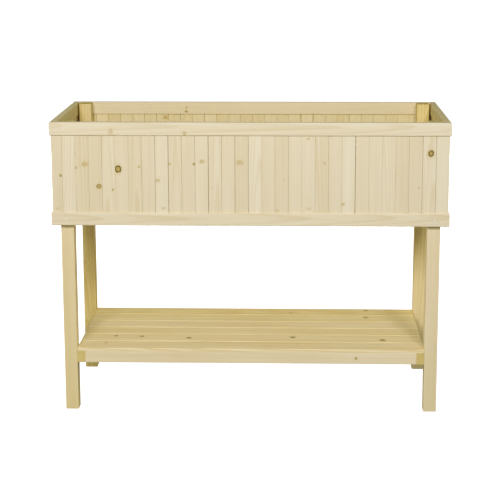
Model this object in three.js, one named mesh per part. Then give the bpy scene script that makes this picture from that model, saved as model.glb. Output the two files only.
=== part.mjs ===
// A raised wooden planter: an open box of upright boards held between grooved
// rails, on four square legs, with a slatted shelf underneath.
//
// Millimetres, +Z up. The long side runs along X and the front faces -Y. The
// origin is on the ground, under the middle of the planter.

import * as THREE from "three";

// Overall size.
const LENGTH = 1200;
const DEPTH = 500;
const HEIGHT = 905;
const BOX_BOTTOM = 590;

// The rails that frame the walls, and the boards held in their grooves.
const RAIL_THICKNESS = 20;
const TOP_RAIL_HEIGHT = 40;
const BOTTOM_RAIL_HEIGHT = 40;
const RAIL_EASING = 2.5;
const LIP_EASING = 1.2;
const MITRE_GAP = 0.15;
const BOARD_SETBACK = 4;
const BOARD_THICKNESS = 12;
const BOARD_PITCH = 40;
const BOARDS_PER_PANEL = 3;
const SIDE_BOARD_COUNT = 12;
const V_JOINT = 1.5;
const GROOVE_DEPTH = 8;
const TONGUE_THICKNESS = 4;
const TONGUE_LENGTH = 4;
const TONGUE_CLEARANCE = 0.3;

// The legs stand inside the corners of the box. They bear against the long
// walls and stand a little clear of the side walls.
const LEG_SIZE = 40;
const LEG_EASING = 2;
const LEG_SIDE_GAP = 5;
const LEG_TOP = HEIGHT - 1;
const LEG_OUTER_X = LENGTH / 2 - RAIL_THICKNESS - LEG_SIDE_GAP;
const LEG_INNER_X = LEG_OUTER_X - LEG_SIZE;
const LEG_OUTER_Y = DEPTH / 2 - RAIL_THICKNESS;
const LEG_INNER_Y = LEG_OUTER_Y - LEG_SIZE;

// The floor of the box: boards with drainage gaps, on battens.
const FLOOR_BOARD_COUNT = 5;
const FLOOR_BOARD_THICKNESS = 12;
const FLOOR_GAP = 4;
const FLOOR_CLEARANCE = 1.5;
const FLOOR_TOP = BOX_BOTTOM + BOTTOM_RAIL_HEIGHT;
const BATTEN_SIZE = 24;

// The shelf: slats on bearers that run between the legs, with an apron board
// under the front and the rear slat.
const SHELF_TOP = 199;
const SLAT_COUNT = 6;
const SLAT_THICKNESS = 10;
const SLAT_GAP = 3;
const BEARER_HEIGHT = 37;
const BEARER_WIDTH = 24;
const APRON_THICKNESS = 20;
const SMALL_EASING = 1.5;
const EASING_STEPS = 3;

// Plain pine in the tones of the different members.
const COLOURS = {
  leg: 0xdcc9a0,
  rail: 0xe2d3ae,
  board: [0xdfcfa6, 0xe4d6b2, 0xd9c798],
  floor: 0xd3bf8c,
  shelf: 0xd6c18c,
};

const planter = new THREE.Group();
planter.name = "raised_planter";

function addWood(name, geometry, colour) {
  const material = new THREE.MeshStandardMaterial({ color: colour, roughness: 0.75, metalness: 0 });
  const mesh = new THREE.Mesh(geometry, material);
  mesh.name = name;
  planter.add(mesh);
}

// Where a profile point (u, v) lands at the distance t along each axis.
const ALONG = {
  x: (u, v, t) => [t, u, v],
  y: (u, v, t) => [u, t, v],
  z: (u, v, t) => [u, v, t],
};

// A straight member: one closed profile swept along an axis. With a mitre of 1
// both ends are cut back at 45 degrees as the profile's u grows.
function prism(profile, axis, start, end, mitre = 0) {
  const outline = THREE.ShapeUtils.isClockWise(profile) ? [...profile].reverse() : profile;
  const near = outline.map(({ x, y }) => ALONG[axis](x, y, start + mitre * x));
  const far = outline.map(({ x, y }) => ALONG[axis](x, y, end - mitre * x));
  const triangles = [];
  for (const [a, b, c] of THREE.ShapeUtils.triangulateShape(outline, [])) {
    triangles.push([near[c], near[b], near[a]], [far[a], far[b], far[c]]);
  }
  for (let i = 0; i < outline.length; i += 1) {
    const j = (i + 1) % outline.length;
    triangles.push([near[i], near[j], far[j]], [near[i], far[j], far[i]]);
  }
  if (axis === "y") {
    triangles.forEach((triangle) => triangle.reverse());
  }
  const geometry = new THREE.BufferGeometry();
  geometry.setAttribute("position", new THREE.Float32BufferAttribute(triangles.flat(2), 3));
  geometry.computeVertexNormals();
  return geometry;
}

// Rounds the square corners of an outline. Each corner is [x, y, radius].
function eased(corners) {
  const points = corners.map(([x, y]) => new THREE.Vector2(x, y));
  return corners.flatMap(([, , radius], i) => {
    if (!radius) {
      return [points[i]];
    }
    const previous = points[(i + points.length - 1) % points.length];
    const next = points[(i + 1) % points.length];
    const arriving = points[i].clone().sub(previous).normalize();
    const leaving = next.clone().sub(points[i]).normalize();
    const centre = points[i].clone().addScaledVector(arriving, -radius).addScaledVector(leaving, radius);
    return Array.from({ length: EASING_STEPS + 1 }, (_, step) => {
      const turn = (Math.PI / 2) * (step / EASING_STEPS);
      return centre
        .clone()
        .addScaledVector(leaving, -radius * Math.cos(turn))
        .addScaledVector(arriving, radius * Math.sin(turn));
    });
  });
}

function easedRectangle(x0, y0, x1, y1, radius) {
  return eased([
    [x0, y0, radius],
    [x1, y0, radius],
    [x1, y1, radius],
    [x0, y1, radius],
  ]);
}

// ---- Walls ----------------------------------------------------------------
// Each wall is built in its own frame, with x along it, y inwards from its
// outer face and z up, and is then turned into place. boardEdges are the
// joints between its boards.

// Full boards run from the right-hand end, and a narrower one fills the rest.
function longWallEdges() {
  const end = LENGTH / 2 - BOARD_SETBACK;
  const fullBoards = Math.floor((2 * end) / BOARD_PITCH);
  const edges = Array.from({ length: fullBoards + 1 }, (_, i) => end - (fullBoards - i) * BOARD_PITCH);
  return [-end, ...edges];
}

function sideWallEdges() {
  const end = DEPTH / 2 - BOARD_SETBACK - BOARD_THICKNESS;
  return Array.from({ length: SIDE_BOARD_COUNT + 1 }, (_, i) => -end + (2 * end * i) / SIDE_BOARD_COUNT);
}

const mirrored = (edges) => edges.map((x) => -x).reverse();

const WALLS = [
  { side: "front", length: LENGTH, turn: 0, x: 0, y: -DEPTH / 2, edges: longWallEdges() },
  { side: "right", length: DEPTH, turn: Math.PI / 2, x: LENGTH / 2, y: 0, edges: sideWallEdges() },
  { side: "rear", length: LENGTH, turn: Math.PI, x: 0, y: DEPTH / 2, edges: mirrored(longWallEdges()) },
  { side: "left", length: DEPTH, turn: -Math.PI / 2, x: -LENGTH / 2, y: 0, edges: sideWallEdges() },
];

// A rail's section, from its plain edge at height 0 to its grooved edge. The
// two lips beside the groove hold the boards.
function railProfile(bottom, height, grooveFacesUp) {
  const grooveNear = BOARD_SETBACK;
  const grooveFar = BOARD_SETBACK + BOARD_THICKNESS;
  const up = [
    [0, 0, RAIL_EASING],
    [RAIL_THICKNESS, 0, RAIL_EASING],
    [RAIL_THICKNESS, height, LIP_EASING],
    [grooveFar, height, 0],
    [grooveFar, height - GROOVE_DEPTH, 0],
    [grooveNear, height - GROOVE_DEPTH, 0],
    [grooveNear, height, 0],
    [0, height, RAIL_EASING],
  ];
  const corners = grooveFacesUp ? up : up.map(([y, z, radius]) => [y, height - z, radius]).reverse();
  return eased(corners.map(([y, z, radius]) => [y, bottom + z, radius]));
}

// The plan outline of a few boards joined edge to edge, with V-joints on both
// faces, a groove down the left edge and a tongue down the right one.
function panelOutline(edges, hasGroove, hasTongue) {
  const outer = BOARD_SETBACK;
  const inner = BOARD_SETBACK + BOARD_THICKNESS;
  const middle = (outer + inner) / 2;
  const left = edges[0];
  const right = edges[edges.length - 1];
  const joints = edges.slice(1, -1);
  const outline = [[left, outer + V_JOINT], [left + V_JOINT, outer]];
  for (const x of joints) {
    outline.push([x - V_JOINT, outer], [x, outer + V_JOINT], [x + V_JOINT, outer]);
  }
  outline.push([right - V_JOINT, outer], [right, outer + V_JOINT]);
  if (hasTongue) {
    const half = TONGUE_THICKNESS / 2;
    const tip = right + TONGUE_LENGTH;
    outline.push([right, middle - half], [tip, middle - half], [tip, middle + half], [right, middle + half]);
  }
  outline.push([right, inner - V_JOINT], [right - V_JOINT, inner]);
  for (const x of [...joints].reverse()) {
    outline.push([x + V_JOINT, inner], [x, inner - V_JOINT], [x - V_JOINT, inner]);
  }
  outline.push([left + V_JOINT, inner], [left, inner - V_JOINT]);
  if (hasGroove) {
    const half = TONGUE_THICKNESS / 2 + TONGUE_CLEARANCE;
    const root = left + TONGUE_LENGTH + TONGUE_CLEARANCE;
    outline.push([left, middle + half], [root, middle + half], [root, middle - half], [left, middle - half]);
  }
  return outline.map(([x, y]) => new THREE.Vector2(x, y));
}

function addWall({ side, length, turn, x, y, edges }) {
  const place = new THREE.Matrix4().makeRotationZ(turn).setPosition(x, y, 0);
  const half = length / 2 - MITRE_GAP;
  const topRail = railProfile(HEIGHT - TOP_RAIL_HEIGHT, TOP_RAIL_HEIGHT, false);
  const bottomRail = railProfile(BOX_BOTTOM, BOTTOM_RAIL_HEIGHT, true);
  addWood(`top_rail_${side}`, prism(topRail, "x", -half, half, 1).applyMatrix4(place), COLOURS.rail);
  addWood(`bottom_rail_${side}`, prism(bottomRail, "x", -half, half, 1).applyMatrix4(place), COLOURS.rail);

  const boardBottom = BOX_BOTTOM + BOTTOM_RAIL_HEIGHT - GROOVE_DEPTH;
  const boardTop = HEIGHT - TOP_RAIL_HEIGHT + GROOVE_DEPTH;
  const boardCount = edges.length - 1;
  for (let first = 0, panel = 1; first < boardCount; first += BOARDS_PER_PANEL, panel += 1) {
    const last = Math.min(first + BOARDS_PER_PANEL, boardCount);
    const outline = panelOutline(edges.slice(first, last + 1), first > 0, last < boardCount);
    const colour = COLOURS.board[panel % COLOURS.board.length];
    const geometry = prism(outline, "z", boardBottom, boardTop).applyMatrix4(place);
    addWood(`${side}_boards_${panel}`, geometry, colour);
  }
}

// ---- Legs -----------------------------------------------------------------

function addLegs() {
  const half = LEG_SIZE / 2;
  for (const [end, y] of [["front", half - LEG_OUTER_Y], ["rear", LEG_OUTER_Y - half]]) {
    for (const [side, x] of [["left", half - LEG_OUTER_X], ["right", LEG_OUTER_X - half]]) {
      const outline = easedRectangle(x - half, y - half, x + half, y + half, LEG_EASING);
      addWood(`leg_${end}_${side}`, prism(outline, "z", 0, LEG_TOP), COLOURS.leg);
    }
  }
}

// ---- Floor of the box -----------------------------------------------------

// A floor board's plan. The first and the last board are notched round the legs.
function floorBoardOutline(near, far) {
  const end = LENGTH / 2 - RAIL_THICKNESS - FLOOR_CLEARANCE;
  const notchX = LEG_INNER_X - FLOOR_CLEARANCE;
  const notchY = LEG_INNER_Y - FLOOR_CLEARANCE;
  const nearEnd = near < -notchY ? notchX : end;
  const farEnd = far > notchY ? notchX : end;
  const points = [[-nearEnd, near], [nearEnd, near]];
  if (nearEnd < end) {
    points.push([notchX, -notchY], [end, -notchY]);
  }
  if (farEnd < end) {
    points.push([end, notchY], [notchX, notchY]);
  }
  points.push([farEnd, far], [-farEnd, far]);
  if (farEnd < end) {
    points.push([-notchX, notchY], [-end, notchY]);
  }
  if (nearEnd < end) {
    points.push([-end, -notchY], [-notchX, -notchY]);
  }
  return points.map(([x, y]) => new THREE.Vector2(x, y));
}

function addFloor() {
  const underBoards = FLOOR_TOP - FLOOR_BOARD_THICKNESS;
  const battenX = LEG_INNER_X - FLOOR_CLEARANCE - BATTEN_SIZE / 2;
  for (const [place, x] of [["left", -battenX], ["middle", 0], ["right", battenX]]) {
    const half = BATTEN_SIZE / 2;
    const profile = easedRectangle(x - half, underBoards - BATTEN_SIZE, x + half, underBoards, SMALL_EASING);
    addWood(`floor_batten_${place}`, prism(profile, "y", -LEG_OUTER_Y, LEG_OUTER_Y), COLOURS.floor);
  }
  const start = -LEG_OUTER_Y + FLOOR_CLEARANCE;
  const pitch = (-2 * start + FLOOR_GAP) / FLOOR_BOARD_COUNT;
  for (let i = 0; i < FLOOR_BOARD_COUNT; i += 1) {
    const near = start + i * pitch;
    const outline = floorBoardOutline(near, near + pitch - FLOOR_GAP);
    addWood(`floor_board_${i + 1}`, prism(outline, "z", underBoards, FLOOR_TOP), COLOURS.floor);
  }
}

// ---- Shelf ----------------------------------------------------------------

function addShelf() {
  const slatBottom = SHELF_TOP - SLAT_THICKNESS;
  const bottom = slatBottom - BEARER_HEIGHT;
  const apronInner = LEG_OUTER_Y - APRON_THICKNESS;
  const bearerX = LEG_INNER_X - BEARER_WIDTH / 2;
  for (const [place, x, reach] of [
    ["left", -bearerX, LEG_OUTER_Y],
    ["middle", 0, apronInner],
    ["right", bearerX, LEG_OUTER_Y],
  ]) {
    const half = BEARER_WIDTH / 2;
    const profile = easedRectangle(x - half, bottom, x + half, slatBottom, SMALL_EASING);
    addWood(`shelf_bearer_${place}`, prism(profile, "y", -reach, reach), COLOURS.shelf);
  }
  const apronEnd = LEG_INNER_X - BEARER_WIDTH;
  for (const [end, near] of [["front", -LEG_OUTER_Y], ["rear", apronInner]]) {
    const profile = easedRectangle(near, bottom, near + APRON_THICKNESS, slatBottom, SMALL_EASING);
    addWood(`shelf_apron_${end}`, prism(profile, "x", -apronEnd, apronEnd), COLOURS.shelf);
  }
  const pitch = (2 * LEG_OUTER_Y + SLAT_GAP) / SLAT_COUNT;
  for (let i = 0; i < SLAT_COUNT; i += 1) {
    const near = -LEG_OUTER_Y + i * pitch;
    const profile = easedRectangle(near, slatBottom, near + pitch - SLAT_GAP, SHELF_TOP, SMALL_EASING);
    addWood(`shelf_slat_${i + 1}`, prism(profile, "x", -LEG_INNER_X, LEG_INNER_X), COLOURS.shelf);
  }
}

WALLS.forEach(addWall);
addLegs();
addFloor();
addShelf();

export default planter;
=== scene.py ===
"""The looks of a raised wooden planter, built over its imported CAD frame.

Metres, +Z up, in the CAD's own frame. Every CAD node is replaced by a detailed piece of the same
extent: separate boards with eased edges and V-joints, sawn from pine logs whose rings give the
grain on every face, with knots that the grain flows round. Screw heads, which have no node, are
added to the rails.
"""

import math
import random

import bpy
from mathutils import Matrix, Vector


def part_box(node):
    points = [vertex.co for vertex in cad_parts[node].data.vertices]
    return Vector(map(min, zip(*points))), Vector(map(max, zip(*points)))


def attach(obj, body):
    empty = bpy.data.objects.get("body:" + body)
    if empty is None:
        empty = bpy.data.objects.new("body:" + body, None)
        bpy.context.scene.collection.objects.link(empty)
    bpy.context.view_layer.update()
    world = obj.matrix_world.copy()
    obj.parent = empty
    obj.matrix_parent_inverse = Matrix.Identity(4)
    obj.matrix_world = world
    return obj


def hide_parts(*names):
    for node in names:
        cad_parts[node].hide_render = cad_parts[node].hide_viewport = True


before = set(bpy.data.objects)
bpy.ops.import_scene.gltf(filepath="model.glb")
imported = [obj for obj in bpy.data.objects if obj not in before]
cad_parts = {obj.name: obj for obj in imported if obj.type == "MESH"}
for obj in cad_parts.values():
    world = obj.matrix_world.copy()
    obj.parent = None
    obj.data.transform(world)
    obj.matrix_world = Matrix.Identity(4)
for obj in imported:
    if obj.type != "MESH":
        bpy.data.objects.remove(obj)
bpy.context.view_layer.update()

RANDOM = random.Random(7)

# ---- Camera, lights and floor ----------------------------------------------

CAMERA_PLACE = (0.1258, -4.3404, 1.4859)
CAMERA_TURN = 0.0305
CAMERA_PITCH = -0.1930
CAMERA_ROLL = -0.0022
CAMERA_LENS = 100.06
CAMERA_SHIFT_Y = -0.11
CAMERA_SENSOR = 36.0
CAMERA_REACH = 200.0

# Azimuths run from the front of the planter towards its right, in degrees. Sizes are in metres
# and powers in watts.
SOFTBOXES = {
    "key": {"azimuth": -12, "elevation": 25, "size": (1.2, 1.2), "power": 118},
    "front_right": {"azimuth": 20, "elevation": 32, "size": (0.6, 0.6), "power": 64},
    "left": {"azimuth": -60, "elevation": 8, "size": (1.5, 1.2), "power": 14},
    "right_fill": {"azimuth": 92, "elevation": -2, "size": (2.0, 0.4), "power": 46},
    "left_fill": {"azimuth": -92, "elevation": -2, "size": (2.0, 0.4), "power": 46},
    "rear": {"azimuth": 180, "elevation": 7, "size": (3.0, 1.0), "power": 150, "glossy": False},
}
SOFTBOX_DISTANCE = 5.0
LIGHT_TARGET = (0.0, 0.0, 0.55)
AMBIENT = 0.21
FLOOR_SIZE = 120.0
FLOOR_GREY = 0.8
FLOOR_ROUGHNESS = 0.9
FLOOR_GLOW = 0.97
WHITE = (1.0, 1.0, 1.0, 1.0)

# The picture's blue, as (seen, shown): shaded wood looks a deeper yellow, white stays white.
BLUE_GRADE = ((0.07, 0.05), (0.14, 0.10), (0.22, 0.185), (0.36, 0.345), (0.45, 0.445))

# ---- Sections ---------------------------------------------------------------

EASING_STEPS = 4
RAIL_EASING = 0.0025
LIP_EASING = 0.0012
LEG_EASING = 0.002
SMALL_EASING = 0.0015
END_CHAMFER = 0.0008
GROOVE_DEPTH = 0.008
TONGUE_THICKNESS = 0.004
TONGUE_LENGTH = 0.004
TONGUE_CLEARANCE = 0.0003
V_JOINT = 0.0006
BOARDS_PER_PANEL = 3

# How far the tongue lies behind the face that shows, as a share of the board's thickness.
TONGUE_SETBACK = 2 / 3

# How far boards stray from true: the least and most gap between two, and the most that one
# stands in or out, bends across its width, or bends along its length.
JOINT_GAPS = (0.0001, 0.0004)
REAR_JOINT_GAPS = (0.0003, 0.0008)
MOST_LIFT = 0.0002
MOST_CUPPING = 0.0005
MOST_BOW = 0.0006

# A board's face is divided this finely across it, and its length at about this spacing.
FACE_STEPS = 6
SECTION_SPACING = 0.06


def eased(corners):
    """An outline with rounded corners. Each corner is (x, y, radius), anticlockwise."""
    points = [Vector(corner[:2]) for corner in corners]
    outline = []
    for i, corner in enumerate(corners):
        radius = corner[2]
        if not radius:
            outline.append(points[i])
            continue
        arriving = (points[i] - points[i - 1]).normalized()
        leaving = (points[(i + 1) % len(points)] - points[i]).normalized()
        centre = points[i] + (leaving - arriving) * radius
        for step in range(EASING_STEPS + 1):
            turn = math.pi / 2 * step / EASING_STEPS
            outline.append(centre + (arriving * math.sin(turn) - leaving * math.cos(turn)) * radius)
    return outline


def eased_rectangle(x0, y0, x1, y1, radius):
    return eased([(x0, y0, radius), (x1, y0, radius), (x1, y1, radius), (x0, y1, radius)])


def shrunk(outline, amount):
    """The outline moved inwards by the amount."""
    if not amount:
        return outline
    moved = []
    for i, point in enumerate(outline):
        before = (point - outline[i - 1]).normalized()
        after = (outline[(i + 1) % len(outline)] - point).normalized()
        inward = Vector((-before.y - after.y, before.x + after.x))
        moved.append(point + inward * amount / (1 + before.dot(after)))
    return moved


# ---- Timber -----------------------------------------------------------------

# How the boards were sawn: how far along the timber one may start, what share of them was sawn
# flat, how far off the log's heart lies, and how far it strays from straight beside a board or,
# for a flat-sawn one, from straight behind it.
MOST_START = 40
FLAT_SAWN_SHARE = 0.3
HEART_REACH = (0.035, 0.09)
MOST_HEART_TURN = 0.45

# A board whose tone is chosen still varies by this share of a natural tone.
CHOSEN_TONE_SPREAD = 0.2

# Most boards show one or two knots. A shelf slat is long enough for more.
KNOT_SLOTS = {"shelf_wood": 5}
FEW_KNOTS = 2
NO_KNOT = (0.0, 0.0, 0.0, 0.0)

# An edge sharper than this isn't smoothed.
SHARP_ANGLE = math.radians(32)

# How square a face is to its board before it shows any end grain, and the range over which it
# comes to show nothing else.
END_GRAIN_START = 0.55
END_GRAIN_RANGE = 0.4


class Log:
    """Where a board lay in its log, its tone from -1 (deep) to 1 (pale), which on some pieces is
    chosen as painted light and shade, how much of a warm yellow is laid on it as painted shade
    from 0 to 1, how much warmer that painted shade gets in a metre, and its knots.

    The heart runs along the board, at (across, through) from the board's own origin. A knot is
    (along, across, radius, depth of colour) in the board's own frame.
    """

    def __init__(self, tone=None, knots=(), warmth=0.0, shade_warming=0.0):
        self.start = RANDOM.uniform(0, MOST_START)
        flat_sawn = RANDOM.random() < FLAT_SAWN_SHARE
        reach = RANDOM.uniform(*HEART_REACH)
        turn = RANDOM.uniform(-MOST_HEART_TURN, MOST_HEART_TURN) + (math.pi / 2 if flat_sawn else 0)
        self.heart = (reach * math.cos(turn), reach * math.sin(turn))
        natural_tone = RANDOM.uniform(-1, 1)
        self.tone = natural_tone if tone is None else tone + natural_tone * CHOSEN_TONE_SPREAD
        self.knots = list(knots)
        self.warmth = warmth
        self.shade_warming = shade_warming

    def point(self, along, across, through):
        return (along + self.start, across - self.heart[0], through - self.heart[1])

    def knot(self, number):
        if number >= len(self.knots):
            return NO_KNOT
        along, across, radius, depth = self.knots[number]
        return (along + self.start, across - self.heart[0], radius, depth)


class Timber:
    """The mesh of one piece: closed solids, and for each point its place in its log."""

    def __init__(self):
        self.points = []
        self.faces = []
        self.end_grain = []
        self.log_points = []
        self.tones_and_painted_light = []
        self.warmths = []
        self.knots = [[] for _ in range(max(KNOT_SLOTS.values()))]

    def loft(self, place, rings, log):
        """A closed solid through rings of (along, across, through) points, put in place."""
        first = len(self.points)
        count = len(rings[0])
        for ring in rings:
            for point in ring:
                self.points.append(place @ Vector(point))
                self.log_points.append(log.point(*point))
                self.tones_and_painted_light.append(log.tone)
                self.warmths.append(log.warmth + log.shade_warming * point[0])
                for number, values in enumerate(self.knots):
                    values.append(log.knot(number))
        last = (len(rings) - 1) * count
        faces = [[*range(count)][::-1], [*range(last, last + count)]]
        for lower in range(0, last, count):
            for i in range(count):
                j = (i + 1) % count
                faces.append([lower + i, lower + j, lower + count + j, lower + count + i])
        flat = [point for ring in rings for point in ring]
        inside_out = volume_sign(flat, faces) * place.to_3x3().determinant() < 0
        for face in faces:
            self.end_grain.append(end_share(flat, face))
            face = face[::-1] if inside_out else face
            self.faces.append([first + i for i in face])

    def finish(self, name, material, slot, *nodes):
        """The object that stands for the nodes."""
        mesh = bpy.data.meshes.new(name)
        mesh.from_pydata(self.points, [], self.faces)
        add_attribute(mesh, "log_point", "FLOAT_VECTOR", "POINT", self.log_points)
        add_attribute(mesh, "tone", "FLOAT", "POINT", self.tones_and_painted_light)
        add_attribute(mesh, "warmth", "FLOAT", "POINT", self.warmths)
        add_attribute(mesh, "end_grain", "FLOAT", "FACE", self.end_grain)
        for number, values in enumerate(self.knots[:KNOT_SLOTS.get(slot, FEW_KNOTS)]):
            add_attribute(mesh, f"knot_{number + 1}", "FLOAT_COLOR", "POINT", values)
        mesh.materials.append(material)
        piece = place_piece(name, mesh)
        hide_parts(*nodes)
        return piece


def add_attribute(mesh, name, kind, domain, values):
    attribute = mesh.attributes.new(name, kind, domain)
    field = {"FLOAT_VECTOR": "vector", "FLOAT": "value", "FLOAT_COLOR": "color"}[kind]
    flat = values if kind == "FLOAT" else [number for value in values for number in value]
    attribute.data.foreach_set(field, flat)


def place_piece(name, mesh):
    """Links the mesh as a piece with smooth eased edges, riding on the planter."""
    piece = bpy.data.objects.new(name, mesh)
    bpy.context.scene.collection.objects.link(piece)
    mesh.shade_smooth()
    mesh.set_sharp_from_angle(angle=SHARP_ANGLE)
    normals = piece.modifiers.new("flat_faces", "WEIGHTED_NORMAL")
    normals.keep_sharp = True
    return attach(piece, "root")


def volume_sign(points, faces):
    """Positive if the faces wind outwards."""
    total = 0.0
    for face in faces:
        start = Vector(points[face[0]])
        for i, j in zip(face[1:-1], face[2:]):
            total += start.dot(Vector(points[i]).cross(Vector(points[j])))
    return total


def end_share(points, face):
    """How far a face shows end grain: 1 square across the board, 0 along it."""
    normal = Vector((0.0, 0.0, 0.0))
    for k, i in enumerate(face):
        normal += Vector(points[i]).cross(Vector(points[face[(k + 1) % len(face)]]))
    share = abs(normal.normalized().x) if normal.length else 0.0
    return min(max((share - END_GRAIN_START) / END_GRAIN_RANGE, 0.0), 1.0)


def board_rings(outline, near, far, chamfer=0.0, mitre=0.0, bow=(0.0, 0.0)):
    """Sections of a straight board from near to far. The outline is (across, through).

    A mitre of 1 cuts both ends back at 45 degrees as the board goes deeper. The bow is how far
    the middle stands from a straight line, across and through.
    """
    length = far - near
    steps = max(2, round(length / SECTION_SPACING))
    sections = [(i / steps, 0.0) for i in range(steps + 1)]
    if chamfer:
        lead = chamfer / length
        sections[0] = (lead, 0.0)
        sections[-1] = (1 - lead, 0.0)
        sections = [(0.0, chamfer), *sections, (1.0, chamfer)]
    rings = []
    for share, inset in sections:
        bend = math.sin(math.pi * share)
        ring = []
        for across, through in shrunk(outline, inset):
            cut = mitre * through
            along = near + cut + share * (length - 2 * cut)
            ring.append((along, across + bow[0] * bend, through + bow[1] * bend))
        rings.append(ring)
    return rings


def frame_matrix(along, across, through, origin):
    """The matrix of a board's own frame."""
    matrix = Matrix((along, across, through)).transposed().to_4x4()
    matrix.translation = origin
    return matrix


AXES = [Vector((1, 0, 0)), Vector((0, 1, 0)), Vector((0, 0, 1))]


def member(node, easing, material, slot, bow=MOST_BOW, **log):
    """A straight member with eased edges that fills a node's box, along its longest side."""
    low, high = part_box(node)
    size = high - low
    axis = max(range(3), key=lambda k: size[k])
    second, third = sorted((k for k in range(3) if k != axis), key=lambda k: -size[k])
    half_across, half_through = size[second] / 2, size[third] / 2
    outline = eased_rectangle(-half_across, -half_through, half_across, half_through, easing)
    place = frame_matrix(AXES[axis], AXES[second], AXES[third], (low + high) / 2)
    half = size[axis] / 2
    bend = (RANDOM.uniform(-bow, bow), RANDOM.uniform(-bow, bow))
    rings = board_rings(outline, -half, half, chamfer=END_CHAMFER, bow=bend)
    timber = Timber()
    timber.loft(place, rings, Log(**log))
    return timber.finish(f"{node}_wood", material, slot, node)


# ---- Materials --------------------------------------------------------------


def linear(red, green, blue):
    """An 8-bit sRGB colour as the linear colour that a shader takes."""
    values = []
    for value in (red, green, blue):
        value /= 255
        values.append(value / 12.92 if value <= 0.04045 else ((value + 0.055) / 1.055) ** 2.4)
    return (*values, 1.0)


# What most of a noise lies between.
NOISE_RANGE = (0.3, 0.7)


class Shader:
    """Adds nodes to one material and links them."""

    def __init__(self, name):
        self.material = bpy.data.materials.new(name)
        self.material.use_nodes = True
        self.tree = self.material.node_tree
        self.surface = self.tree.nodes["Principled BSDF"]

    def node(self, kind, inputs, **settings):
        node = self.tree.nodes.new(kind)
        for key, value in settings.items():
            setattr(node, key, value)
        for key, value in inputs.items():
            self.feed(node.inputs[key], value)
        return node

    def feed(self, socket, value):
        if isinstance(value, bpy.types.NodeSocket):
            self.tree.links.new(value, socket)
        else:
            socket.default_value = value

    def attribute(self, name):
        return self.node("ShaderNodeAttribute", {}, attribute_name=name).outputs

    def math(self, operation, *values):
        inputs = dict(enumerate(values))
        return self.node("ShaderNodeMath", inputs, operation=operation).outputs[0]

    def add(self, first, *others):
        for other in others:
            first = self.math("ADD", first, other)
        return first

    def subtract(self, first, second):
        return self.math("SUBTRACT", first, second)

    def multiply(self, first, second):
        return self.math("MULTIPLY", first, second)

    def distance(self, x, y):
        squares = self.add(self.math("POWER", x, 2.0), self.math("POWER", y, 2.0))
        return self.math("SQRT", squares)

    def remap(self, value, low, high, to_low=0.0, to_high=1.0, kind="SMOOTHSTEP"):
        inputs = {0: value, 1: low, 2: high, 3: to_low, 4: to_high}
        return self.node("ShaderNodeMapRange", inputs, interpolation_type=kind).outputs[0]

    def spread(self, noise, low, high):
        """The noise's usual range, stretched evenly to run from low to high."""
        return self.remap(noise, *NOISE_RANGE, low, high, "LINEAR")

    def split(self, vector):
        return self.node("ShaderNodeSeparateXYZ", {0: vector}).outputs

    def noise(self, place, along, across, detail=2.0, roughness=0.5):
        """Noise with this many features a metre along and across the grain."""
        x, y, z = place
        scaled = {0: self.multiply(x, along), 1: self.multiply(y, across), 2: self.multiply(z, across)}
        vector = self.node("ShaderNodeCombineXYZ", scaled).outputs[0]
        inputs = {"Vector": vector, "Scale": 1.0, "Detail": detail, "Roughness": roughness}
        return self.node("ShaderNodeTexNoise", inputs).outputs["Fac"]

    def mix(self, share, first, second, blend="MIX"):
        """Two colours mixed. Sockets 6 and 7 of a Mix node take them, and 2 gives the result."""
        inputs = {0: share, 6: first, 7: second}
        settings = {"data_type": "RGBA", "blend_type": blend, "clamp_factor": True}
        return self.node("ShaderNodeMix", inputs, **settings).outputs[2]


# The noises in the wood, as features a metre along and across the grain.
WANDERS = (1.3, 9.0)
RIPPLES = (6.0, 60.0)
STREAKS = (1.6, 75.0)
FIBRES = (22.0, 900.0)
CLOUDS = (3.0, 14.0)
BLOTCHES = (260.0, 200.0)

# How the year rings are laid: their width, how much their heart leans in a metre of log, how far
# it wanders, and how far each ring ripples.
RING_WIDTH = 0.0032
HEART_LEAN = 0.011
HEART_WANDER = 0.012
RING_RIPPLE = 0.0012

# Where late wood sets in and ends, as shares of a year's growth.
LATE_WOOD_START = (0.35, 0.88)
LATE_WOOD_END = (1.0, 0.9)

# How much each of these deepens the wood, from early wood's colour at 0 to late wood's at 1, and
# how much a pale tone lightens it.
PLAIN_DEPTH = 0.2
LATE_WOOD_DEPTH = 0.22
STREAK_RANGE = (0.3, 0.75)
STREAK_DEPTHS = (-0.07, 0.15)
FIBRE_DEPTH = 0.04
CLOUD_DEPTH = 0.05
TONE_DEPTH = 0.09

KNOT_PALE = linear(202, 176, 114)
KNOT_BROWN = linear(154, 124, 64)
KNOT_RIM = linear(92, 74, 28)
KNOT_HALO = linear(212, 188, 132)

# What end grain multiplies the colour by, and the warm tint that is painted shade: a deeper
# yellow laid on pieces that stand in shade.
END_GRAIN_TINT = (0.80, 0.74, 0.47, 1.0)
SHADE_WARM_TINT = (0.96, 0.88, 0.42, 1.0)

# A radius under the least means no knot. The safe one keeps a division from failing.
LEAST_RADIUS = 0.0002
SAFE_RADIUS = 0.0001

# A faint knot was cut at a slant, so it is flatter along the grain than a deep one, and its
# outline is more uneven.
FAINT_STRETCH = 0.45
STRETCH_WITH_DEPTH = 0.7
FAINT_UNEVENNESS = 0.45
DEEP_UNEVENNESS = 0.12

# How fast a knot's pull on the grain fades, and how strong it is.
PULL_FADING = -0.16
PULL_STRENGTH = 0.75

# Where a knot's parts begin and end, in the knot's own radii, and how strong they are.
KNOT_EDGE = (1.1, 0.9)
HALO_EDGE = (2.4, 1.0)
HALO_STRENGTH = 0.5
KNOT_RINGS = 13.0
KNOT_RING_STRENGTH = 0.7
RIM_PLACE = 0.95
RIM_EDGE = (0.34, 0.08)
RIM_STRENGTH = 0.95
RIM_FROM_DEPTH = 0.5

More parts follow.
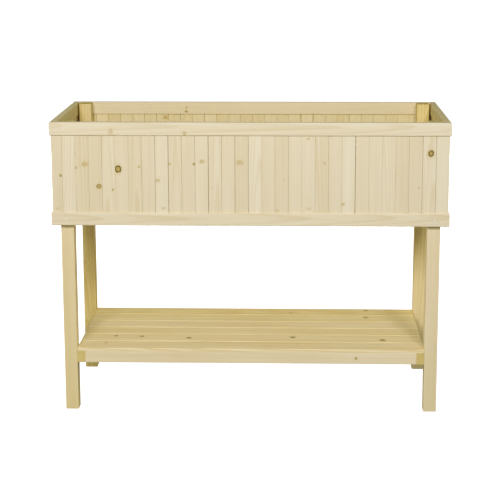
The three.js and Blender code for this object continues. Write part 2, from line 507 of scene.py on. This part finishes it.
# The surface: how its roughness changes with the fibres and the late wood, and its relief.
FIBRE_SMOOTHING = 0.06
FIBRE_DULLING = 0.08
LATE_WOOD_SHINE = 0.08
LATE_WOOD_RELIEF = 0.6
RELIEF_STRENGTH = 0.5
RELIEF_HEIGHT = 0.00025


def find_knot(shader, number, along, across):
    """How far a point is from one knot of the board, in the knot's radii, whether the board has
    the knot, and its depth of colour. Last, where the knot sends the grain at that point: a faint
    knot moves it less."""
    knot = shader.attribute(f"knot_{number}")
    knot_along, knot_across, radius = shader.split(knot["Color"])
    depth = knot["Alpha"]
    stretch = shader.add(shader.multiply(depth, STRETCH_WITH_DEPTH), FAINT_STRETCH)
    away_along = shader.math("DIVIDE", shader.subtract(along, knot_along), stretch)
    away_across = shader.subtract(across, knot_across)
    away = shader.distance(away_along, away_across)
    distance = shader.math("DIVIDE", away, shader.math("MAXIMUM", radius, SAFE_RADIUS))
    present = shader.math("GREATER_THAN", radius, LEAST_RADIUS)
    fading = shader.multiply(shader.math("POWER", distance, 2.0), PULL_FADING)
    pull = shader.multiply(shader.math("EXPONENT", fading), shader.multiply(present, depth))
    kept = shader.subtract(1.0, shader.multiply(pull, PULL_STRENGTH))
    bent = shader.add(knot_across, shader.multiply(away_across, kept))
    return distance, present, depth, bent


def paint_knot(shader, colour, blotches, distance, present, depth):
    """A knot with a pale halo, year rings of its own and a dark rim of bark."""
    faintness = shader.remap(depth, 0.0, 1.0, FAINT_UNEVENNESS, DEEP_UNEVENNESS)
    uneven = shader.add(distance, shader.multiply(shader.spread(blotches, -1.0, 1.0), faintness))
    strength = shader.multiply(present, depth)
    halo = shader.remap(uneven, *HALO_EDGE, 0.0, HALO_STRENGTH)
    colour = shader.mix(shader.multiply(halo, strength), colour, KNOT_HALO)
    rings = shader.remap(shader.math("SINE", shader.multiply(uneven, KNOT_RINGS)), -1.0, 1.0)
    core = shader.mix(shader.remap(rings, 0.0, 1.0, 0.0, KNOT_RING_STRENGTH), KNOT_PALE, KNOT_BROWN)
    colour = shader.mix(shader.multiply(shader.remap(uneven, *KNOT_EDGE), strength), colour, core)
    off_rim = shader.math("ABSOLUTE", shader.subtract(uneven, RIM_PLACE))
    bark = shader.remap(depth, RIM_FROM_DEPTH, 1.0, 0.0, RIM_STRENGTH)
    rim = shader.multiply(shader.remap(off_rim, *RIM_EDGE), bark)
    return shader.mix(shader.multiply(rim, present), colour, KNOT_RIM)


def late_wood_share(shader, place):
    """How much of a point is late wood. The rings lie round the heart of the log."""
    wander = shader.noise(place, *WANDERS, detail=1.0)
    ripple = shader.noise(place, *RIPPLES)
    reach = shader.add(
        shader.distance(place[1], place[2]),
        shader.multiply(place[0], HEART_LEAN),
        shader.multiply(wander, HEART_WANDER),
        shader.multiply(ripple, RING_RIPPLE),
    )
    year = shader.math("FRACT", shader.math("DIVIDE", reach, RING_WIDTH))
    return shader.multiply(shader.remap(year, *LATE_WOOD_START), shader.remap(year, *LATE_WOOD_END))


def wood_depth(shader, place, late_wood, fibres, grain):
    """How far the wood's colour is from that of early wood towards that of late wood."""
    streaks = shader.noise(place, *STREAKS, detail=3.0, roughness=0.6)
    clouds = shader.noise(place, *CLOUDS)
    pattern = shader.add(
        shader.multiply(late_wood, LATE_WOOD_DEPTH),
        shader.remap(streaks, *STREAK_RANGE, *STREAK_DEPTHS, "LINEAR"),
        shader.spread(fibres, -FIBRE_DEPTH, FIBRE_DEPTH),
        shader.spread(clouds, -CLOUD_DEPTH, CLOUD_DEPTH),
    )
    # The tone is the board's own at random, but on some pieces it is chosen as painted light and
    # shade.
    paling = shader.multiply(shader.attribute("tone")["Fac"], TONE_DEPTH)
    return shader.add(shader.subtract(shader.multiply(pattern, grain), paling), PLAIN_DEPTH)


def plane_surface(shader, late_wood, fibres, roughness):
    """Late wood stands up a little and shines more. The fibres make fine lines in the surface."""
    dulling = shader.spread(fibres, roughness - FIBRE_SMOOTHING, roughness + FIBRE_DULLING)
    dulling = shader.subtract(dulling, shader.multiply(late_wood, LATE_WOOD_SHINE))
    shader.feed(shader.surface.inputs["Roughness"], dulling)
    height = shader.add(shader.multiply(late_wood, LATE_WOOD_RELIEF), fibres)
    relief = {"Strength": RELIEF_STRENGTH, "Distance": RELIEF_HEIGHT, "Height": height}
    bump = shader.node("ShaderNodeBump", relief)
    shader.feed(shader.surface.inputs["Normal"], bump.outputs[0])


def pine(name, early, late, grain=1.0, roughness=0.58):
    """Planed pine: early wood, late wood, fibres, knots and darker end grain."""
    shader = Shader(name)
    along, across, through = shader.split(shader.attribute("log_point")["Vector"])
    knots = []
    for number in range(1, KNOT_SLOTS.get(name, FEW_KNOTS) + 1):
        *knot, across = find_knot(shader, number, along, across)
        knots.append(knot)

    place = (along, across, through)
    late_wood = late_wood_share(shader, place)
    fibres = shader.noise(place, *FIBRES, roughness=0.6)
    colour = shader.mix(wood_depth(shader, place, late_wood, fibres, grain), early, late)
    blotches = shader.noise(place, *BLOTCHES)
    for knot in knots:
        colour = paint_knot(shader, colour, blotches, *knot)

    # Painted shade: the warm tint deepens the yellow where a piece stands in shade.
    colour = shader.mix(shader.attribute("warmth")["Fac"], colour, SHADE_WARM_TINT, "MULTIPLY")
    sawn = shader.mix(1.0, colour, END_GRAIN_TINT, "MULTIPLY")
    colour = shader.mix(shader.attribute("end_grain")["Fac"], colour, sawn)
    shader.feed(shader.surface.inputs["Base Color"], colour)
    plane_surface(shader, late_wood, fibres, roughness)
    return shader.material


ZINC_SPECKLES = (900.0, 900.0)
ZINC_ROUGHNESS = (0.28, 0.42)
ZINC_METALLIC = 0.25


def zinc():
    """Plated screws, speckled and a little uneven in their shine."""
    shader = Shader("zinc_screws")
    place = shader.split(shader.node("ShaderNodeNewGeometry", {}).outputs["Position"])
    speckle = shader.noise(place, *ZINC_SPECKLES)
    colour = shader.mix(speckle, linear(240, 230, 212), linear(253, 246, 230))
    shader.feed(shader.surface.inputs["Base Color"], colour)
    shine = shader.remap(speckle, *NOISE_RANGE, *ZINC_ROUGHNESS)
    shader.feed(shader.surface.inputs["Roughness"], shine)
    shader.surface.inputs["Metallic"].default_value = ZINC_METALLIC
    return shader.material


RAIL_WOOD = pine("rail_wood", linear(238, 227, 199), linear(208, 184, 134))
BOARD_WOOD = pine("board_wood", linear(238, 227, 199), linear(206, 180, 128), grain=0.9)
LEG_WOOD = pine("leg_wood", linear(240, 225, 190), linear(208, 180, 124), grain=1.2)
FLOOR_WOOD = pine("floor_wood", linear(234, 216, 178), linear(200, 170, 114), roughness=0.68)
# Painted light: the shelf's wood is paler than the walls', so that the slats, bearers and aprons under
# the box look lit more than the lamps light them.
SHELF_WOOD = pine("shelf_wood", linear(254, 240, 202), linear(226, 198, 140), grain=2.2)
APRON_WOOD = pine("apron_wood", linear(248, 234, 200), linear(212, 186, 132), grain=1.4)
SCREW_ZINC = zinc()


# ---- Walls ------------------------------------------------------------------
# Each wall has its own frame, with x along it, y inwards from its outer face and z up.

WALL_TURNS = {"front": 0, "right": 90, "rear": 180, "left": -90}
# Painted shade: a warm yellow on the walls whose faces stand in shade, none on the front wall.
RAIL_SHADE_WARMTH = {"front": 0.0, "right": 0.3, "rear": 0.15, "left": 0.4}
BOARD_SHADE_WARMTH = {"front": 0.0, "right": 0.2, "rear": 0.3, "left": 0.25}


class Wall:
    """One wall's frame, and its nodes' boxes measured in it."""

    def __init__(self, side):
        self.side = side
        turn = Matrix.Rotation(math.radians(WALL_TURNS[side]), 3, "Z")
        self.along = turn @ AXES[0]
        self.inward = turn @ AXES[1]
        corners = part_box(f"top_rail_{side}")
        self.face = min(corner.dot(self.inward) for corner in corners)

    def box(self, node):
        """(lowest, highest) of a node as (along, inward, up)."""
        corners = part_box(node)
        alongs = sorted(corner.dot(self.along) for corner in corners)
        depths = sorted(corner.dot(self.inward) - self.face for corner in corners)
        return (alongs[0], depths[0], corners[0].z), (alongs[1], depths[1], corners[1].z)

    def matrix(self, along, across, through, bottom):
        """A board's own frame, with its origin in the wall's outer face at this height."""
        return frame_matrix(along, across, through, self.inward * self.face + AXES[2] * bottom)


def rail_outline(height, thickness, near_lip, far_lip, groove_up):
    """A rail's section as (up, inward), with the groove that holds the boards."""
    corners = [
        (0, 0, RAIL_EASING),
        (height, 0, RAIL_EASING),
        (height, near_lip, 0),
        (height - GROOVE_DEPTH, near_lip, 0),
        (height - GROOVE_DEPTH, far_lip, 0),
        (height, far_lip, 0),
        (height, thickness, LIP_EASING),
        (0, thickness, RAIL_EASING),
    ]
    if not groove_up:
        corners = [(height - up, inward, radius) for up, inward, radius in reversed(corners)]
    return eased(corners)


def add_rail(wall, end, knots=()):
    node = f"{end}_rail_{wall.side}"
    low, high = wall.box(node)
    boards_low, boards_high = wall.box(f"{wall.side}_boards_1")
    height, thickness = high[2] - low[2], high[1]
    outline = rail_outline(height, thickness, boards_low[1], boards_high[1], end == "bottom")
    rings = board_rings(outline, low[0], high[0], mitre=1.0)
    place = wall.matrix(wall.along, AXES[2], wall.inward, low[2])
    timber = Timber()
    timber.loft(place, rings, Log(knots=knots, warmth=RAIL_SHADE_WARMTH[wall.side]))
    return timber.finish(f"{node}_wood", RAIL_WOOD, "rail_wood", node)


def board_face(start, end, level):
    """Points along a board's flat face, without its last."""
    return [(start + (end - start) * i / FACE_STEPS, level) for i in range(FACE_STEPS)]


def edge_step(edge, end, centre, half):
    """A tongue or, with a negative half, a groove: from the board's edge to its end and back."""
    return [(edge, centre - half), (end, centre - half), (end, centre + half), (edge, centre + half)]


def board_outline(left, right, thickness, centre, has_groove, has_tongue):
    """A board's section as (along the wall, inward), anticlockwise, with its tongue at centre."""
    half = TONGUE_THICKNESS / 2
    face_left, face_right = left + V_JOINT, right - V_JOINT
    outline = [*board_face(face_left, face_right, 0), (face_right, 0), (right, V_JOINT)]
    if has_tongue:
        outline += edge_step(right, right + TONGUE_LENGTH, centre, half)
    outline += [(right, thickness - V_JOINT), *board_face(face_right, face_left, thickness)]
    outline += [(face_left, thickness), (left, thickness - V_JOINT)]
    if has_groove:
        groove_end = left + TONGUE_LENGTH + TONGUE_CLEARANCE
        outline += edge_step(left, groove_end, centre, -(half + TONGUE_CLEARANCE))
    outline.append((left, V_JOINT))
    cupping = RANDOM.uniform(0, MOST_CUPPING)
    middle, half_width = (left + right) / 2, (right - left) / 2
    return [Vector((x, y + cupping * ((x - middle) / half_width) ** 2)) for x, y in outline]


def board_edges(wall, panels):
    """The joints between a wall's boards. All are one pitch wide, but for one on the left of the
    front wall and its twin across from it on the rear wall, which are narrower."""
    boxes = [wall.box(f"{wall.side}_boards_{panel}") for panel in range(1, panels + 1)]
    lefts = [low[0] for low, high in boxes]
    ends = [*lefts[1:], boxes[-1][1][0]]
    pitch = (ends[1] - lefts[1]) / BOARDS_PER_PANEL
    edges = [lefts[0]]
    inner_joints = range(1, BOARDS_PER_PANEL)
    for left, right in zip(lefts, ends):
        if wall.side == "rear":
            edges += [left + i * pitch for i in inner_joints]
        else:
            edges += [right - i * pitch for i in reversed(inner_joints)]
        edges.append(right)
    return edges


def board_spans(wall, panels, gaps):
    """The (left, right) of each board of a wall, with a gap at every joint. Wider gaps go by the
    number of the board on their left."""
    edges = board_edges(wall, panels)
    usual = REAR_JOINT_GAPS if wall.side == "rear" else JOINT_GAPS
    widths = [gaps.get(number, RANDOM.uniform(*usual)) for number in range(1, len(edges) - 1)]
    widths = [0.0, *widths, 0.0]
    rights = [edge - width / 2 for edge, width in zip(edges, widths)][1:]
    lefts = [edge + width / 2 for edge, width in zip(edges, widths)][:-1]
    return list(zip(lefts, rights))


def loft_board(timber, wall, node, number, spans, knots):
    """Adds one board of a wall to its piece. Boards are counted from 1, from the left."""
    low, high = wall.box(node)
    left, right = spans[number - 1]
    thickness = high[1] - low[1]
    setback = 1 - TONGUE_SETBACK if wall.side == "rear" else TONGUE_SETBACK
    lift = RANDOM.uniform(-MOST_LIFT, MOST_LIFT)
    has_groove, has_tongue = number > 1, number < len(spans)
    outline = board_outline(left, right, thickness, thickness * setback, has_groove, has_tongue)
    outline = [point + Vector((0, low[1] + lift)) for point in outline]
    middle = (left + right) / 2
    placed = [(up, middle + offset, radius, depth) for up, offset, radius, depth in knots]
    tone = front_tone_and_painted_light(number) if wall.side == "front" else None
    log = Log(tone, placed, BOARD_SHADE_WARMTH[wall.side])
    log.heart = (log.heart[0] + middle, log.heart[1])
    place = wall.matrix(AXES[2], wall.along, wall.inward, low[2])
    timber.loft(place, board_rings(outline, 0, high[2] - low[2]), log)


def add_boards(wall, gaps, knots):
    """The boards of a wall, three to a piece. Knots go by the number of their board."""
    panels = sum(node.startswith(f"{wall.side}_boards_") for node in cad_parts)
    spans = board_spans(wall, panels, gaps)
    for panel in range(1, panels + 1):
        node = f"{wall.side}_boards_{panel}"
        last = panel * BOARDS_PER_PANEL
        timber = Timber()
        for number in range(last - BOARDS_PER_PANEL + 1, last + 1):
            loft_board(timber, wall, node, number, spans, knots.get(number, ()))
        timber.finish(f"{node}_wood", BOARD_WOOD, "board_wood", node)


# Wider joints, by the number of the board on their left.
FRONT_GAPS = {
    8: 0.0006,
    9: 0.0011,
    12: 0.0013,
    14: 0.0006,
    15: 0.0006,
    23: 0.0013,
    28: 0.0006,
    29: 0.0006,
}
REAR_GAPS = {10: 0.0018, 11: 0.0032}

# Front boards that stand out by their tone. The wall also gets a little paler from left to
# right, which is painted light: by one step of tone over this many boards, about the middle of
# the wall.
DEEP_BOARDS = (3, 4, 7, 15, 18, 21, 27, 28)
PALE_BOARDS = (2, 9, 12, 16, 23, 30)
BOARDS_PER_TONE = 24
FRONT_MIDDLE = 15.5


def front_tone_and_painted_light(number):
    own_tone = (number in PALE_BOARDS) - (number in DEEP_BOARDS)
    return own_tone + (number - FRONT_MIDDLE) / BOARDS_PER_TONE


# Knots as (up from the board's foot, across from its middle, radius, depth of colour), by the
# board's number.
FRONT_KNOTS = {
    1: [(0.121, 0.011, 0.003, 0.9), (0.020, 0.000, 0.006, 0.25)],
    3: [(0.156, 0.008, 0.0095, 0.5), (0.145, -0.016, 0.003, 0.7)],
    4: [(0.088, 0.010, 0.0065, 0.8)],
    5: [(0.078, 0.012, 0.003, 0.7)],
    6: [(0.141, -0.011, 0.0085, 1.0)],
    7: [(0.148, 0.012, 0.005, 0.45)],
    9: [(0.107, -0.012, 0.006, 0.45), (0.022, 0.004, 0.005, 0.35)],
    10: [(0.157, -0.016, 0.004, 0.5)],
    11: [(0.157, 0.017, 0.003, 0.85)],
    12: [(0.165, 0.001, 0.007, 0.45)],
    13: [(0.084, -0.012, 0.002, 0.4)],
    15: [(0.162, -0.006, 0.010, 0.4)],
    18: [(0.111, 0.007, 0.002, 0.5), (0.016, -0.014, 0.006, 0.25)],
    20: [(0.234, -0.001, 0.004, 0.5), (0.022, 0.002, 0.006, 0.25)],
    21: [(0.161, 0.008, 0.004, 0.4)],
    23: [(0.036, -0.016, 0.005, 0.5)],
    28: [(0.087, 0.010, 0.003, 0.45)],
    29: [(0.191, 0.004, 0.0075, 1.0)],
}
REAR_KNOTS = {
    7: [(0.120, 0.006, 0.008, 0.9)],
    15: [(0.060, -0.008, 0.006, 0.5)],
    23: [(0.232, -0.010, 0.007, 0.6)],
}
SIDE_KNOTS = {
    3: [(0.170, 0.006, 0.007, 0.9)],
    8: [(0.070, -0.008, 0.006, 0.5)],
}

# Knots as (along from the middle, up from the rail's lower edge, radius, depth of colour).
TOP_RAIL_KNOTS = {
    "front": [(-0.415, 0.012, 0.009, 0.35), (-0.194, 0.007, 0.006, 0.5)],
    "rear": [(0.2245, 0.009, 0.003, 0.9), (0.2235, 0.021, 0.0045, 0.5)],
}
BOTTOM_RAIL_KNOTS = {"rear": [(0.3, 0.02, 0.008, 0.6)]}


def add_walls():
    for side in WALL_TURNS:
        wall = Wall(side)
        add_rail(wall, "top", TOP_RAIL_KNOTS.get(side, ()))
        add_rail(wall, "bottom", BOTTOM_RAIL_KNOTS.get(side, ()))
        gaps = {"front": FRONT_GAPS, "rear": REAR_GAPS}.get(side, {})
        knots = {"front": FRONT_KNOTS, "rear": REAR_KNOTS}.get(side, SIDE_KNOTS)
        add_boards(wall, gaps, knots)


# ---- Legs, floor and shelf --------------------------------------------------

# Knots as (up from the leg's middle, across, radius, depth of colour).
LEG_KNOTS = {
    "leg_front_left": [(0.052, -0.003, 0.004, 0.35)],
    "leg_front_right": [(-0.240, 0.018, 0.004, 0.5)],
    "leg_rear_left": [(-0.290, -0.012, 0.004, 0.5), (-0.085, -0.014, 0.003, 0.4)],
}

# Tone, warm tint at the leg's middle, and how much warmer the leg gets in a metre upwards, all
# painted light and shade: the deep rear left leg stands for a shadow cast on it, the pale right
# legs for light, and the warm tint for shade, deepest at the foot of three legs and at the top of
# the rear right one.
LEG_COLOURS = {
    "leg_front_left": {"tone": 0.0, "warmth": 0.15, "shade_warming": -0.35},
    "leg_front_right": {"tone": 1.0, "warmth": 0.0, "shade_warming": -0.25},
    "leg_rear_left": {"tone": -1.8, "warmth": 0.4, "shade_warming": -0.2},
    "leg_rear_right": {"tone": 0.5, "warmth": 0.35, "shade_warming": 0.5},
}

# Knots as (along from the middle, across, radius, depth of colour). The slats are counted from
# the front.
SLAT_KNOTS = {
    1: [(-0.453, 0.018, 0.005, 0.6), (0.145, 0.016, 0.003, 0.6)],
    2: [
        (-0.430, 0.014, 0.0045, 0.9),
        (-0.347, 0.011, 0.0055, 0.8),
        (-0.197, -0.003, 0.0055, 1.0),
        (0.131, 0.010, 0.006, 1.0),
        (0.413, -0.014, 0.007, 0.9),
    ],
    5: [(0.374, 0.010, 0.008, 0.7)],
    6: [(0.125, -0.020, 0.008, 0.35), (0.378, 0.020, 0.006, 0.7)],
}
FRONT_APRON_KNOTS = [(0.326, 0.0, 0.0035, 0.75)]

# Painted shade: a warm yellow, mostly deeper on the slats further back under the box, and on the rear
# apron.
SLAT_SHADE_WARMTH = {1: 0.05, 2: 0.15, 3: 0.2, 4: 0.15, 5: 0.3, 6: 0.4}
REAR_APRON_SHADE_WARMTH = 0.3

FLOOR_CLEARANCE = 0.0015
FLOOR_CHAMFER = 0.0006


def add_legs():
    for node, colours in LEG_COLOURS.items():
        member(node, LEG_EASING, LEG_WOOD, "leg_wood", knots=LEG_KNOTS.get(node, ()), **colours)


def floor_outline(low, high):
    """A floor board's plan about its middle, notched round the legs that it would run into."""
    half_x, half_y = (high.x - low.x) / 2, (high.y - low.y) / 2
    middle_y = (low.y + high.y) / 2
    leg_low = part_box("leg_rear_right")[0]
    notch_x = leg_low.x - FLOOR_CLEARANCE
    notch_y = leg_low.y - FLOOR_CLEARANCE
    front_notch = -notch_y - middle_y if low.y < -notch_y else None
    rear_notch = notch_y - middle_y if high.y > notch_y else None
    points = [(-half_x, -half_y), (half_x, -half_y)]
    if front_notch is not None:
        points = [(-half_x, front_notch), (-notch_x, front_notch), (-notch_x, -half_y)]
        points += [(notch_x, -half_y), (notch_x, front_notch), (half_x, front_notch)]
    if rear_notch is not None:
        points += [(half_x, rear_notch), (notch_x, rear_notch), (notch_x, half_y)]
        points += [(-notch_x, half_y), (-notch_x, rear_notch), (-half_x, rear_notch)]
    else:
        points += [(half_x, half_y), (-half_x, half_y)]
    return [Vector(point) for point in points]


def add_floor():
    boards = sorted(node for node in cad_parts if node.startswith("floor_board_"))
    for node in boards:
        low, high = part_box(node)
        outline = floor_outline(low, high)
        half = (high.z - low.z) / 2
        inner = half - FLOOR_CHAMFER
        levels = [(-half, FLOOR_CHAMFER), (-inner, 0), (inner, 0), (half, FLOOR_CHAMFER)]
        rings = [[(x, y, level) for x, y in shrunk(outline, inset)] for level, inset in levels]
        timber = Timber()
        timber.loft(Matrix.Translation((low + high) / 2), rings, Log())
        timber.finish(f"{node}_wood", FLOOR_WOOD, "floor_wood", node)
    for place in ("left", "middle", "right"):
        member(f"floor_batten_{place}", SMALL_EASING, FLOOR_WOOD, "floor_wood")


def add_shelf():
    slats = sorted(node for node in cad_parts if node.startswith("shelf_slat_"))
    for number, node in enumerate(slats, 1):
        look = {"knots": SLAT_KNOTS.get(number, ()), "warmth": SLAT_SHADE_WARMTH[number]}
        member(node, SMALL_EASING, SHELF_WOOD, "shelf_wood", **look)
    for place in ("left", "middle", "right"):
        member(f"shelf_bearer_{place}", SMALL_EASING, APRON_WOOD, "shelf_wood", bow=0)
    member("shelf_apron_front", SMALL_EASING, APRON_WOOD, "shelf_wood", knots=FRONT_APRON_KNOTS)
    member("shelf_apron_rear", SMALL_EASING, APRON_WOOD, "shelf_wood", warmth=REAR_APRON_SHADE_WARMTH)


# ---- Screws -----------------------------------------------------------------

HEAD_RADIUS = 0.0038
HEAD_PROUD = 0.0002
HEAD_SEGMENTS = 48

# A head's side from its neck to its top, as (share of its radius, height).
HEAD_PROFILE = [(0.6, -0.002), (1.0, -0.0003), (0.95, HEAD_PROUD * 0.7), (0.8, HEAD_PROUD)]

# The recess is a cross: its arms' reach and its waist as shares of the head, half the angle
# that an arm takes, its depth, and how much narrower it is at its bottom.
RECESS_REACH = 0.5
RECESS_WAIST = 0.2
RECESS_ARM = math.radians(14)
RECESS_DEPTH = 0.0012
RECESS_TAPER = 0.8


def head_ring(radius, height, is_recess=False):
    """Points round a screw head, or round its cross-shaped recess."""
    ring = []
    for i in range(HEAD_SEGMENTS):
        turn = 2 * math.pi * (i + 0.5) / HEAD_SEGMENTS
        reach = radius
        if is_recess:
            from_arm = abs((turn + math.pi / 4) % (math.pi / 2) - math.pi / 4)
            reach *= RECESS_REACH if from_arm < RECESS_ARM else RECESS_WAIST
        ring.append(Vector((reach * math.cos(turn), reach * math.sin(turn), height)))
    return ring


def add_screws(name, spots):
    """Countersunk cross-head screws, one at each (place, outward direction)."""
    rings = [head_ring(HEAD_RADIUS * share, height) for share, height in HEAD_PROFILE]
    rings.append(head_ring(HEAD_RADIUS, HEAD_PROUD, is_recess=True))
    rings.append(head_ring(HEAD_RADIUS * RECESS_TAPER, HEAD_PROUD - RECESS_DEPTH, is_recess=True))
    last = (len(rings) - 1) * HEAD_SEGMENTS
    points, faces = [], []
    for spot, outward in spots:
        tilt = outward.to_track_quat("Z", "Y").to_matrix()
        twist = Matrix.Rotation(RANDOM.uniform(0, math.pi), 3, "Z")
        first = len(points)
        points += [spot + tilt @ twist @ point for ring in rings for point in ring]
        faces.append([first + i for i in reversed(range(HEAD_SEGMENTS))])
        faces.append([first + last + i for i in range(HEAD_SEGMENTS)])
        for lower in range(first, first + last, HEAD_SEGMENTS):
            for i in range(HEAD_SEGMENTS):
                j = (i + 1) % HEAD_SEGMENTS
                upper = lower + HEAD_SEGMENTS
                faces.append([lower + i, lower + j, upper + j, upper + i])
    mesh = bpy.data.meshes.new(name)
    mesh.from_pydata(points, [], faces)
    mesh.materials.append(SCREW_ZINC)
    return place_piece(name, mesh)


def wall_screws():
    """The places of the screws: one through each end of a rail, into the leg behind it."""
    spots = []
    for side in WALL_TURNS:
        wall = Wall(side)
        legs = sorted((wall.box(leg) for leg in LEG_COLOURS), key=lambda box: box[0][1])
        for low, high in legs[:2]:
            for rail in ("top", "bottom"):
                rail_low, rail_high = wall.box(f"{rail}_rail_{side}")
                height = (rail_low[2] + rail_high[2]) / 2
                along = (low[0] + high[0]) / 2
                spot = wall.along * along + wall.inward * wall.face + AXES[2] * height
                spots.append((spot, -wall.inward))
    return spots


# ---- Studio -----------------------------------------------------------------


def add_camera():
    data = bpy.data.cameras.new("camera")
    data.sensor_width = CAMERA_SENSOR
    data.lens = CAMERA_LENS
    data.shift_y = CAMERA_SHIFT_Y
    data.clip_end = CAMERA_REACH
    camera = bpy.data.objects.new("camera", data)
    bpy.context.scene.collection.objects.link(camera)
    turn = Matrix.Rotation(CAMERA_TURN, 4, "Z")
    tilt = Matrix.Rotation(math.pi / 2 + CAMERA_PITCH, 4, "X")
    roll = Matrix.Rotation(CAMERA_ROLL, 4, "Z")
    camera.matrix_world = Matrix.Translation(CAMERA_PLACE) @ turn @ tilt @ roll
    bpy.context.scene.camera = camera


def add_softbox(name, azimuth, elevation, size, power, glossy=True):
    data = bpy.data.lights.new(name, "AREA")
    data.shape = "RECTANGLE"
    data.size, data.size_y = size
    data.energy = power
    light = bpy.data.objects.new(name, data)
    bpy.context.scene.collection.objects.link(light)
    around, up = math.radians(azimuth), math.radians(elevation)
    away = Vector((math.sin(around) * math.cos(up), -math.cos(around) * math.cos(up), math.sin(up)))
    light.location = Vector(LIGHT_TARGET) + away * SOFTBOX_DISTANCE
    light.rotation_euler = away.to_track_quat("Z", "Y").to_euler()
    light.visible_camera = False
    light.visible_glossy = glossy


def add_studio_floor():
    """A white floor that glows a little, so that it runs into the white surround."""
    shader = Shader("studio_floor")
    shader.surface.inputs["Base Color"].default_value = (FLOOR_GREY, FLOOR_GREY, FLOOR_GREY, 1.0)
    shader.surface.inputs["Roughness"].default_value = FLOOR_ROUGHNESS
    shader.surface.inputs["Specular IOR Level"].default_value = 0.0
    shader.surface.inputs["Emission Color"].default_value = WHITE
    shader.surface.inputs["Emission Strength"].default_value = FLOOR_GLOW
    half = FLOOR_SIZE / 2
    corners = [(-half, -half, 0), (half, -half, 0), (half, half, 0), (-half, half, 0)]
    mesh = bpy.data.meshes.new("studio_floor")
    mesh.from_pydata(corners, [], [[0, 1, 2, 3]])
    mesh.materials.append(shader.material)
    floor = bpy.data.objects.new("studio_floor", mesh)
    bpy.context.scene.collection.objects.link(floor)
    floor.visible_diffuse = False
    floor.visible_glossy = False


def add_surround():
    """An even white surround, which lights the planter less than it looks bright."""
    world = bpy.data.worlds.new("studio")
    bpy.context.scene.world = world
    world.use_nodes = True
    nodes, links = world.node_tree.nodes, world.node_tree.links
    surround = nodes["Background"]
    surround.inputs["Color"].default_value = WHITE
    ray = nodes.new("ShaderNodeLightPath")
    strength = nodes.new("ShaderNodeMapRange")
    strength.inputs["To Min"].default_value = AMBIENT
    strength.inputs["To Max"].default_value = 1.0
    links.new(ray.outputs["Is Camera Ray"], strength.inputs["Value"])
    links.new(strength.outputs[0], surround.inputs["Strength"])


def grade_picture():
    """Deepens the yellow of shaded wood, through the blue of the finished picture."""
    settings = bpy.context.scene.view_settings
    settings.view_transform = "Standard"
    settings.use_curve_mapping = True
    blue = settings.curve_mapping.curves[2]
    for seen, shown in BLUE_GRADE:
        blue.points.new(seen, shown)
    settings.curve_mapping.update()


add_camera()
for softbox_name, softbox in SOFTBOXES.items():
    add_softbox(softbox_name, **softbox)
add_studio_floor()
add_surround()
add_walls()
add_legs()
add_floor()
add_shelf()
add_screws("wall_screws", wall_screws())
grade_picture()
